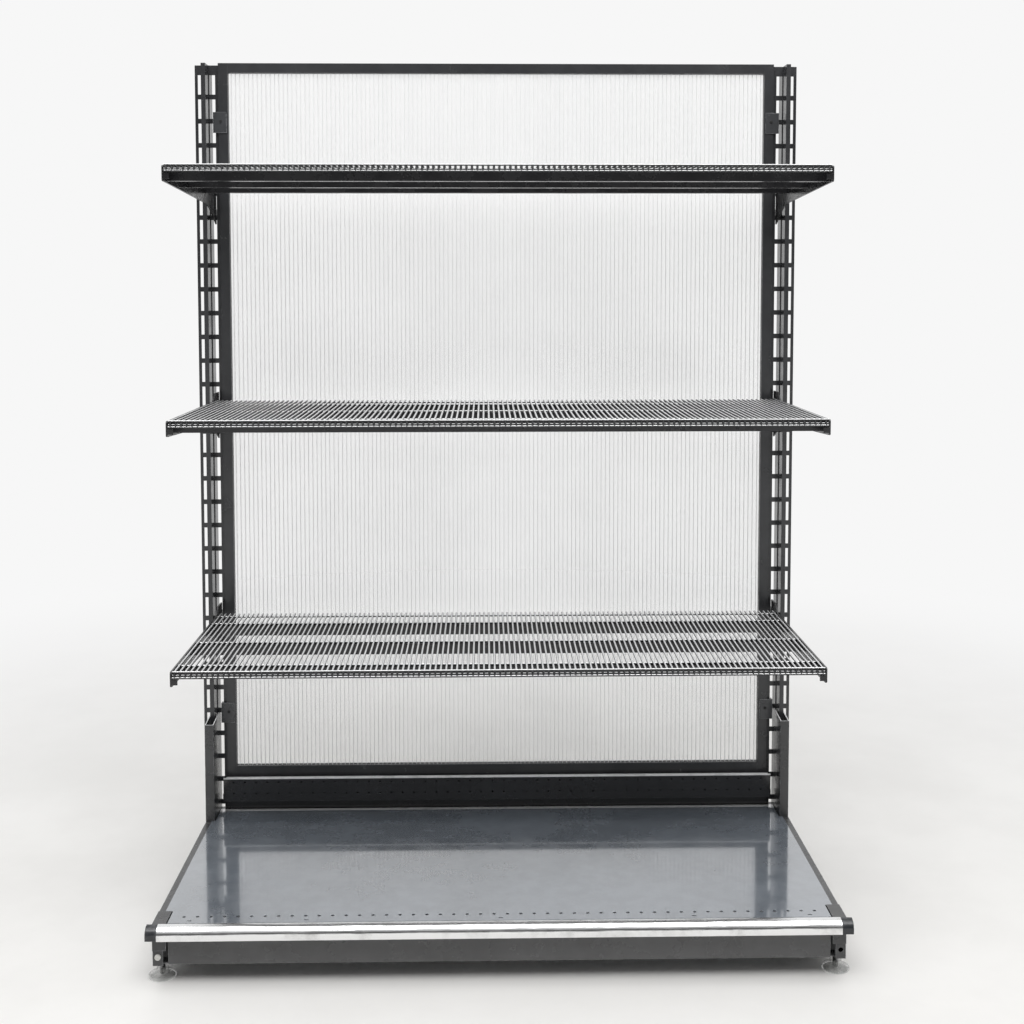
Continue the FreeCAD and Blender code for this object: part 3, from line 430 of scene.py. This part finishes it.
# Feet: a cloudy clear moulded disc turned on a threaded steel stem, which screws up into the leg
# through a nut. The stem's rolled thread shows between the disc and the leg.
THREAD_PITCH = 0.0015
THREAD_DEEP = 0.0009
THREAD_ROOT, THREAD_CREST = 0.1, 0.5
STEM_SIDES = 20
DISC_SIDES = 48
DISC_HOLLOW = 0.0006
SOLE_RING = (0.004, 0.003, 0.0008)
RIM_BAND = (0.0010, 0.0032)
RIM_ROUND, RIM_TOP = 0.0010, 0.0042
DISC_DOME = [(0.0165, 0.0062), (0.0125, 0.0086), (0.0112, 0.0110), (0.0110, 0.0152)]
COLLAR_TOP = 0.0102
SOCKET_TOP, SOCKET_FOOT, SOCKET_FLOOR = 0.0052, 0.0051, 0.0050
ZINC_GREYS = ((0.30, 0.30, 0.30, 1.0), (0.09, 0.088, 0.085, 1.0))
CLOUDY_WHITES = ((0.66, 0.67, 0.66, 1.0), (0.44, 0.45, 0.44, 1.0))
CLOUDY_ALPHA = (0.18, 0.42)
zinc, tree, shader, _ = mottled(
    "zinc_plate", ZINC_GREYS, grain=90.0, detail=5.0, roughness=(0.28, 0.55),
    fine=0.65, patch=(0.35, 0.7))
set_sockets(tree, shader, {"Metallic": 1.0})
dress(zinc, "foot_nuts")
cloudy_plastic, tree, shader, haze = mottled(
    "cloudy_clear_plastic", CLOUDY_WHITES, grain=70.0, detail=4.0, roughness=(0.12, 0.35))
set_sockets(tree, shader, {"Alpha": stretch(tree, haze, *NOISE_SPAN, *CLOUDY_ALPHA)})


def turn_profile(shape, points, centre, sides):
    """Spins a profile of (radius, height) points about an upright axis."""
    corners = [shape.verts.new((centre.x + radius, centre.y, height)) for radius, height in points]
    profile = [shape.edges.new(pair) for pair in zip(corners, corners[1:])]
    bmesh.ops.spin(
        shape, geom=corners + profile, cent=(centre.x, centre.y, 0), axis=(0, 0, 1),
        angle=2 * pi, steps=sides, use_merge=True)


for end in ("front", "rear"):
    for side in SIDES:
        spot = f"{end}_{side}"
        low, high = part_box(f"foot_stem_{spot}")
        middle = (low + high) / 2
        crest = (high.x - low.x) / 2
        root = crest - THREAD_DEEP
        outline = [(0.0, low.z), (root, low.z)]
        for turn in range(int((high.z - low.z) / THREAD_PITCH)):
            start = low.z + turn * THREAD_PITCH
            outline += [(root, start + THREAD_ROOT * THREAD_PITCH),
                        (crest, start + THREAD_CREST * THREAD_PITCH)]
        outline += [(root, high.z), (0.0, high.z)]
        stem = bmesh.new()
        turn_profile(stem, outline, middle, STEM_SIDES)
        threaded = make_piece(stem, f"threaded_stem_{spot}", zinc)
        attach(threaded, f"foot_{spot}")
        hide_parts(f"foot_stem_{spot}")

        low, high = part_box(f"foot_pad_{spot}")
        rim = (high.x - low.x) / 2
        ring_in, ring_sole, ring_out = [rim - inset for inset in SOLE_RING]
        sole = [(0.0, DISC_HOLLOW), (ring_in, DISC_HOLLOW), (ring_sole, low.z), (ring_out, low.z)]
        band = [*[(rim, up) for up in RIM_BAND], (rim - RIM_ROUND, RIM_TOP)]
        collar = [(COLLAR_TOP, high.z), (SOCKET_TOP, high.z)]
        socket = [(SOCKET_FOOT, SOCKET_FLOOR), (0.0, SOCKET_FLOOR)]
        disc = bmesh.new()
        turn_profile(disc, sole + band + DISC_DOME + collar + socket, middle, DISC_SIDES)
        pad = make_piece(disc, f"foot_disc_{spot}", cloudy_plastic)
        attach(pad, f"foot_{spot}")
        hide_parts(f"foot_pad_{spot}")

# Plinth: a folded steel kick plate pushed in between the front plates.
# The same enamel in a paler grey, lightly scuffed.
PLINTH_GREY = (0.088, 0.089, 0.091, 1.0)
plinth_enamel = enamel(
    "plinth_enamel", PLINTH_GREY, RUBBED_STEEL_AND_HIGHLIGHT,
    gloss=0.26, wear_and_edge_highlight=0.7, dusty=0.04, coat=0.0, peel=0.00006)
dress(plinth_enamel, "plinth")

# Deck: the folded steel base shelf, laid on the leg rails, with a row of ticket holes along its
# front. It is enamelled to a high gloss, so it mirrors the back of the unit. A painted highlight
# runs along the fold at its rear.
DECK_BLUE = (0.175, 0.198, 0.228, 1.0)
RUBBED_DECK = (0.60, 0.61, 0.63, 1.0)
DECK_IOR = 2.0
DECK_HIGHLIGHT_REAR = (0.0130, 0.0115)
DECK_HIGHLIGHT_TOP = (0.004, 0.002)
deck_enamel = enamel(
    "deck_enamel", DECK_BLUE, RUBBED_DECK,
    gloss=0.14, wear_and_edge_highlight=0.2, dusty=0.02, coat=1.0, peel=0.00003, corner=0.0010)
tree = deck_enamel.node_tree
set_sockets(tree, tree.nodes["Principled BSDF"], {"IOR": DECK_IOR, "Coat IOR": DECK_IOR})
low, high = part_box("deck")
paint_highlight_band(
    deck_enamel, ("Y", *[high.y - front for front in DECK_HIGHLIGHT_REAR]),
    ("Z", *[high.z - down for down in DECK_HIGHLIGHT_TOP]))
dress(deck_enamel, "deck")

# Bumper: a polished metal rail along the front, on two folded hangers hooked over the front plates.
# Dark moulded caps close its ends.
POLISHED_STEEL = (0.84, 0.845, 0.85, 1.0)
SMUDGED_STEEL = (0.62, 0.62, 0.62, 1.0)
DRAWN_LINES, LINE_GRAIN, LINE_ROUGHNESS = (3.0, 240.0, 240.0), 6.0, (0.08, 0.16)
SMUDGE_GRAIN, SMUDGE_SPAN, SMUDGE_ROUGH = 14.0, (0.45, 0.75), (0.4, 0.8, 0.0, 0.16)
RIPPLE_STRETCH, RIPPLE_DEEP, LINE_SHARE = (9.0, 30.0, 30.0), 0.0014, 0.05
polished, tree, shader = new_material("polished_metal")
here = object_point(tree)
drawn = add_node(
    tree, "ShaderNodeMapping", {"Vector": here, "Scale": DRAWN_LINES}).outputs["Vector"]
lines = noise(tree, drawn, LINE_GRAIN, detail=3.0)
smudge = noise(tree, here, SMUDGE_GRAIN, detail=5.0, roughness=0.7)
drift = add_node(
    tree, "ShaderNodeMapping", {"Vector": here, "Scale": RIPPLE_STRETCH}).outputs["Vector"]
ripple = math_node(
    tree, "MULTIPLY_ADD", lines, LINE_SHARE, noise(tree, drift, scale=1.0, detail=3.0))
bump = add_node(
    tree, "ShaderNodeBump", {"Strength": 1.0, "Distance": RIPPLE_DEEP, "Height": ripple})
set_sockets(tree, shader, {
    "Base Color": tint(tree, stretch(tree, smudge, *SMUDGE_SPAN), POLISHED_STEEL, SMUDGED_STEEL),
    "Roughness": math_node(
        tree, "ADD", stretch(tree, lines, *NOISE_SPAN, *LINE_ROUGHNESS),
        stretch(tree, smudge, *SMUDGE_ROUGH)),
    "Normal": bump.outputs["Normal"], "Metallic": 1.0})
dress(polished, "bumper_bar")

CAP_BLACKS = ((0.026, 0.028, 0.032, 1.0), (0.10, 0.102, 0.108, 1.0))
CAP_CORNER = 0.0012
GRAIN_FINE, GRAIN_DEEP, GRAIN_STRENGTH = 700.0, 0.00008, 0.3
cap_moulding, tree, shader, _ = mottled(
    "cap_moulding", CAP_BLACKS, grain=60.0, detail=5.0, roughness=(0.12, 0.26),
    fine=0.7, patch=(0.5, 0.8))
soft = add_node(tree, "ShaderNodeBevel", {"Radius": CAP_CORNER}, samples=BEVEL_SAMPLES)
bump = add_node(tree, "ShaderNodeBump", {
    "Strength": GRAIN_STRENGTH, "Distance": GRAIN_DEEP,
    "Height": noise(tree, object_point(tree), GRAIN_FINE), "Normal": soft.outputs["Normal"]})
set_sockets(tree, shader, {"Normal": bump.outputs["Normal"]})
for side in SIDES:
    dress(cap_moulding, f"bumper_cap_{side}")
    dress(leg_enamel, f"bumper_hanger_{side}")

# Shelves: two tapered brackets hook into the posts and carry three square bars. A welded wire grid
# lies on the bars: close-set bent wires over four cross wires, with three more along the front lip.
# All of it is enamelled in black graphite; a painted highlight runs along the top of the wires.
# The bars' black is darker than the posts' graphite; the extra darkness is painted shade, so the
# gaps between the wires read dark.
BAR_BLACK_AND_SHADE = (0.016, 0.016, 0.0175, 1.0)
WIRE_BLACK = (0.024, 0.025, 0.027, 1.0)
WIRE_TOP_HIGHLIGHT = (0.62, 0.625, 0.635, 1.0)
LIP_TOP_HIGHLIGHT = (0.90, 0.905, 0.915, 1.0)
WIRE_IOR = 1.6
SIDE_ROUGHNESS = 0.45
WIRE = 0.0040
WIRE_COUNT = 121
WIRE_PITCH = 0.0097
WIRE_SIDES = 8
LIP_BEND = 0.0067
LIP_DROP = 0.014
BEND_STEPS = 3
CROSS_WIRE = 0.0040
CROSS_BACK = (0.052, 0.210, 0.356, 0.415)
CROSS_DOWN = 0.0048
CROSS_SIDES = 12
LIP_WIRE = 0.0034
LIP_WIRES = ((0.0017, 0.0017), (0.0048, 0.0087), (0.0017, 0.0123))
bar_enamel = enamel(
    "bar_enamel", BAR_BLACK_AND_SHADE, RUBBED_GRAPHITE,
    gloss=0.24, wear_and_edge_highlight=0.3, dusty=0.03, coat=0.0, peel=0.00004)

# A painted highlight: the paint turns to the given pale tone as the surface faces up.
painted_top_highlight, given, made = new_group(
    "painted_top_highlight",
    [("Paint", COLOUR), ("Rubbed And Highlight", COLOUR), ("Gloss", NUMBER), ("Start", NUMBER), ("Full", NUMBER)],
    [("Paint", COLOUR), ("Roughness", NUMBER), ("Coat", NUMBER)])
height = parts_of(painted_top_highlight, facing(painted_top_highlight))["Z"]
top_highlight = stretch(painted_top_highlight, height, given["Start"], given["Full"])
beside = stretch(painted_top_highlight, height, given["Start"], given["Full"], SIDE_ROUGHNESS, 0.0)
set_sockets(painted_top_highlight, made, {
    "Paint": tint(painted_top_highlight, top_highlight, given["Paint"], given["Rubbed And Highlight"]),
    "Roughness": math_node(painted_top_highlight, "ADD", given["Gloss"], beside),
    "Coat": top_highlight})


def wire_paint(name, rubbed_and_highlight, start, full):
    """Glossy enamel on a wire, with a painted highlight where the wire turns up from start to full.
    """
    material = enamel(
        name, WIRE_BLACK, RUBBED_GRAPHITE,
        gloss=0.12, wear_and_edge_highlight=0.0, dusty=0.0, coat=1.0, peel=0.0, corner=0.0)
    tree = material.node_tree
    shader = tree.nodes["Principled BSDF"]
    paint, gloss = [
        shader.inputs[name].links[0].from_socket for name in ("Base Color", "Roughness")]
    top = add_node(
        tree, "ShaderNodeGroup",
        {"Paint": paint, "Rubbed And Highlight": rubbed_and_highlight, "Gloss": gloss, "Start": start, "Full": full},
        node_tree=painted_top_highlight).outputs
    set_sockets(tree, shader, {
        "Base Color": top["Paint"], "Roughness": top["Roughness"], "Coat Weight": top["Coat"],
        "IOR": WIRE_IOR, "Coat IOR": WIRE_IOR})
    return material


wire_enamel = wire_paint("wire_enamel", WIRE_TOP_HIGHLIGHT, start=0.45, full=0.85)
lip_enamel = wire_paint("lip_enamel", LIP_TOP_HIGHLIGHT, start=0.10, full=0.60)


def cross_wire(shape, thick, x_low, x_high, y, z):
    """A straight wire from side to side."""
    place = Matrix.Translation(((x_low + x_high) / 2, y, z)) @ Matrix.Rotation(pi / 2, 4, "Y")
    bmesh.ops.create_cone(
        shape, cap_ends=True, segments=CROSS_SIDES, radius1=thick / 2, radius2=thick / 2,
        depth=x_high - x_low, matrix=place)


def bent_wire(shape, x, front, rear, top):
    """One wire of the grid: straight from the rear tip, then bent down at the lip."""
    ring = bmesh.ops.create_circle(
        shape, segments=WIRE_SIDES, radius=WIRE / 2,
        matrix=Matrix.Translation((x, rear, top - WIRE / 2)) @ Matrix.Rotation(pi / 2, 4, "X"))
    tip = list(dict.fromkeys(edge for corner in ring["verts"] for edge in corner.link_edges))
    bmesh.ops.edgeloop_fill(shape, edges=tip)
    bend_at = front + WIRE / 2 + LIP_BEND
    run = bmesh.ops.extrude_edge_only(shape, edges=tip)["geom"]
    bmesh.ops.translate(shape, verts=only(bmesh.types.BMVert, run), vec=(0, bend_at - rear, 0))
    bend = bmesh.ops.spin(
        shape, geom=only((bmesh.types.BMVert, bmesh.types.BMEdge), run), axis=(1, 0, 0),
        angle=pi / 2, cent=(x, bend_at, top - WIRE / 2 - LIP_BEND), steps=BEND_STEPS)["geom_last"]
    stub = bmesh.ops.extrude_edge_only(shape, edges=only(bmesh.types.BMEdge, bend))["geom"]
    bmesh.ops.translate(
        shape, verts=only(bmesh.types.BMVert, stub), vec=(0, 0, WIRE / 2 + LIP_BEND - LIP_DROP))
    bmesh.ops.edgeloop_fill(shape, edges=only(bmesh.types.BMEdge, stub))


for level in ("top", "middle", "bottom"):
    for place in ("front", "centre", "rear"):
        dress(bar_enamel, f"{level}_shelf_bar_{place}")
    for side in SIDES:
        dress(bar_enamel, f"{level}_shelf_bracket_{side}")
    low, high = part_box(f"{level}_shelf_wire_grid")
    grid = bmesh.new()
    for number in range(WIRE_COUNT):
        bent_wire(grid, (number - (WIRE_COUNT - 1) / 2) * WIRE_PITCH, low.y, high.y, high.z)
    bent_faces = len(grid.faces)
    for back in CROSS_BACK:
        cross_wire(grid, CROSS_WIRE, low.x, high.x, low.y + back, high.z - CROSS_DOWN)
    for back, down in LIP_WIRES:
        cross_wire(grid, LIP_WIRE, low.x, high.x, low.y + back, high.z - down)
    use_second_material(grid, bent_faces)
    wires = make_piece(grid, f"{level}_shelf_wires", wire_enamel, lip_enamel, sharp=50.0)
    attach(wires, f"{level}_shelf_grid")
    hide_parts(f"{level}_shelf_wire_grid")

# Studio: a pale floor that fades to white, in a white surround. What the surround lights and what
# mirrors it is darker low in front. A broad lamp hangs overhead and a second one high in front.
FLOOR_HALF = 30.0
FLOOR_TONES = ((0.90, 0.89, 0.87, 1.0), (0.84, 0.83, 0.81, 1.0))
FLOOR_FADE = (0.6, 3.2)
BACKDROP = 0.93
WHITE = (BACKDROP, BACKDROP, BACKDROP, 1.0)
ROOM_END = 0.10
ROOM_RISE = (0.20, 0.80)
ROOM_BACK = (-0.30, 0.10)
AMBIENT = 0.62


def seen_rays(tree):
    """The kinds of ray, and a mask of those that see straight, in a mirror or through plastic."""
    ray = add_node(tree, "ShaderNodeLightPath").outputs
    onward = math_node(tree, "MAXIMUM", ray["Is Glossy Ray"], ray["Is Transmission Ray"])
    return ray, math_node(tree, "MAXIMUM", ray["Is Camera Ray"], onward)


floor_paint, tree, shader, _ = mottled(
    "pale_floor", FLOOR_TONES, grain=2.2, detail=6.0, roughness=(0.45, 0.6), fine=0.6)
away = add_node(tree, "ShaderNodeVectorMath", {0: object_point(tree)}, operation="LENGTH")
_, seen = seen_rays(tree)
fade = math_node(tree, "MULTIPLY", seen, stretch(tree, away.outputs["Value"], *FLOOR_FADE))
white = add_node(tree, "ShaderNodeEmission", {"Color": WHITE, "Strength": 1.0})
mixed = add_node(tree, "ShaderNodeMixShader", {
    0: fade, 1: shader.outputs["BSDF"], 2: white.outputs["Emission"]})
tree.links.new(mixed.outputs["Shader"], tree.nodes["Material Output"].inputs["Surface"])
slab = bmesh.new()
bmesh.ops.create_grid(slab, x_segments=2, y_segments=2, size=FLOOR_HALF)
floor = make_piece(slab, "floor", floor_paint)

world = bpy.data.worlds.new("surround")
world.use_nodes = True
bpy.context.scene.world = world
tree = world.node_tree
ray, seen = seen_rays(tree)
shown = add_node(tree, "ShaderNodeBackground", {"Color": WHITE, "Strength": 1.0})
towards = parts_of(tree, add_node(tree, "ShaderNodeTexCoord").outputs["Generated"])
dim_end = stretch(tree, towards["Z"], *ROOM_RISE, ROOM_END, BACKDROP)
room = tint(tree, stretch(tree, towards["Y"], *ROOM_BACK), dim_end, WHITE)
ambient = add_node(tree, "ShaderNodeBackground", {"Color": room, "Strength": AMBIENT})
mirrored = add_node(tree, "ShaderNodeBackground", {"Color": room, "Strength": 1.0})
mixed = add_node(tree, "ShaderNodeMixShader", {
    0: seen, 1: ambient.outputs["Background"], 2: shown.outputs["Background"]})
mixed = add_node(tree, "ShaderNodeMixShader", {
    0: ray["Is Glossy Ray"], 1: mixed.outputs["Shader"], 2: mirrored.outputs["Background"]})
tree.links.new(mixed.outputs["Shader"], tree.nodes["World Output"].inputs["Surface"])


def lamp(name, place, aim, wide, deep, power):
    """A soft rectangular lamp."""
    light = bpy.data.lights.new(name, "AREA")
    light.shape = "RECTANGLE"
    light.size, light.size_y, light.energy = wide, deep, power
    holder = bpy.data.objects.new(name, light)
    holder.location = place
    holder.rotation_euler = (Vector(aim) - Vector(place)).to_track_quat("-Z", "Y").to_euler()
    bpy.context.scene.collection.objects.link(holder)


lamp("ceiling_lamp", place=(0.0, -0.8, 4.0), aim=(0.0, -0.5, 0.0), wide=4.0, deep=2.4, power=60.0)
lamp("front_lamp", place=(0.0, -2.6, 4.3), aim=(0.0, -0.2, 0.6), wide=4.4, deep=2.0, power=110.0)

# Camera: level with the upper part of the unit, a little left of its middle.
# It looks slightly down, and the frame is shifted down as well, which keeps the posts near upright.
LENS, SENSOR, SHIFT = 47.082, 36.0, -0.14
PLACE = (-0.0259, -2.5757, 1.2300)
YAW, PITCH, ROLL = radians(1.150), radians(3.501), radians(-0.046)
camera_data = bpy.data.cameras.new("camera")
camera_data.lens, camera_data.sensor_width, camera_data.shift_y = LENS, SENSOR, SHIFT
camera = bpy.data.objects.new("camera", camera_data)
camera.location = PLACE
view = Vector((sin(YAW) * cos(PITCH), cos(YAW) * cos(PITCH), -sin(PITCH)))
upright = view.to_track_quat("-Z", "Y").to_matrix()
camera.rotation_euler = (upright @ Matrix.Rotation(ROLL, 3, "Z")).to_euler()
bpy.context.scene.collection.objects.link(camera)
bpy.context.scene.camera = camera
bpy.context.scene.view_settings.view_transform = "Standard"
